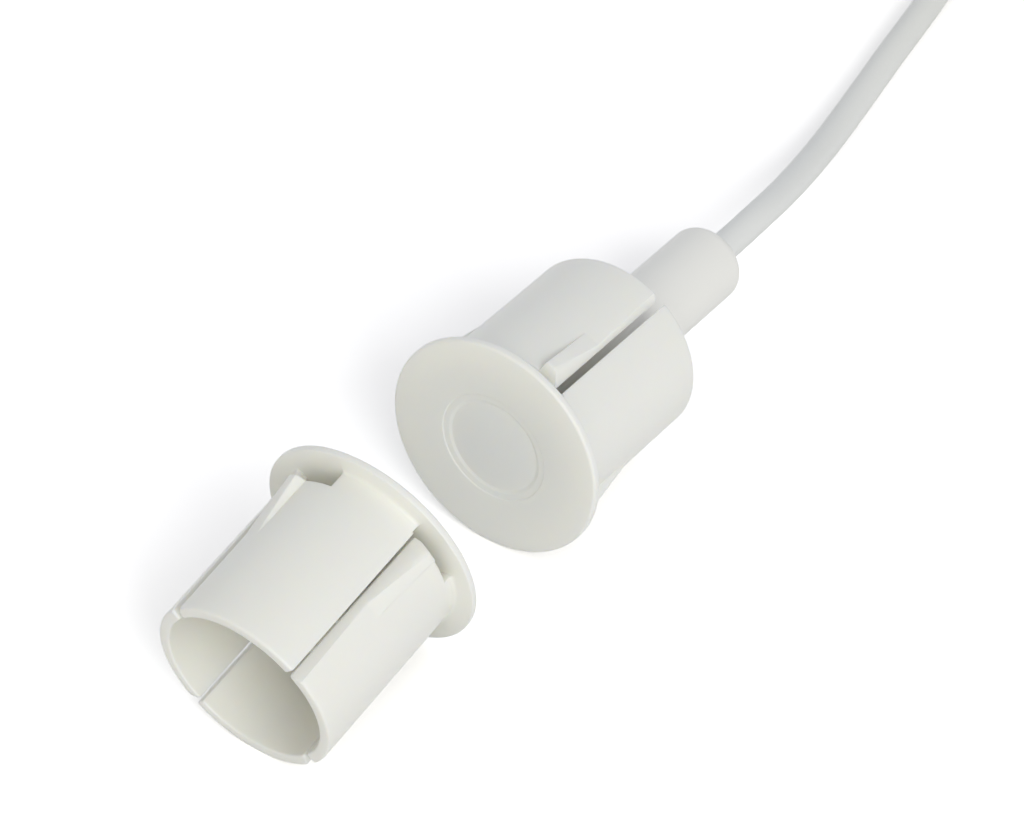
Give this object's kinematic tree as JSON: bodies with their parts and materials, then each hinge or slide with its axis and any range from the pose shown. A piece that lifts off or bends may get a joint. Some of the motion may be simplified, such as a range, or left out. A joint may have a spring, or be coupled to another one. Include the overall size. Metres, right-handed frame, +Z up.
{
  "type": "recessed magnetic contact",
  "caption": "Recessed door or window contact: a white split-sleeve reed switch half with its round alarm cable and a matching magnet half, laid out as a loose pair.",
  "frame": {"origin": "middle of the bottom of the pair's box, cable and coil left out, on the table", "axes": "+X along the pair from the magnet half to the switch half, towards the cable; +Z up"},
  "size_m": [0.1777, 0.0424, 0.0229],
  "materials": {
    "white_plastic": "white moulded plastic, satin",
    "grey_jacket": "off-white soft cable jacket",
    "clear_resin": "pale potting resin",
    "glass": "faintly green glass",
    "reed_metal": "plated nickel iron",
    "magnet_nickel": "nickel-plated magnet",
    "solder": "bright solder",
    "core_white": "white core insulation",
    "core_brown": "brown core insulation",
    "core_yellow": "yellow core insulation",
    "core_green": "green core insulation"
  },
  "bodies": {
    "root": {"switch_sleeve": "white_plastic", "magnet_sleeve": "white_plastic", "reed_capsule": "white_plastic", "capsule_resin": "clear_resin", "reed_glass": "glass", "reed_blade_front": "reed_metal", "reed_blade_rear": "reed_metal", "solder_front": "solder", "solder_rear": "solder", "solder_tamper": "solder", "lead_white": "core_white", "lead_brown": "core_brown", "lead_yellow": "core_yellow", "lead_green": "core_green", "magnet": "magnet_nickel", "magnet_resin": "clear_resin", "cable_run": "grey_jacket", "cable_coil": "grey_jacket", "cable_tail": "grey_jacket", "core_white": "core_white", "core_brown": "core_brown", "core_yellow": "core_yellow", "core_green": "core_green", "tip_white": "solder", "tip_brown": "solder", "tip_yellow": "solder", "tip_green": "solder"}
  },
  "joints": []
}
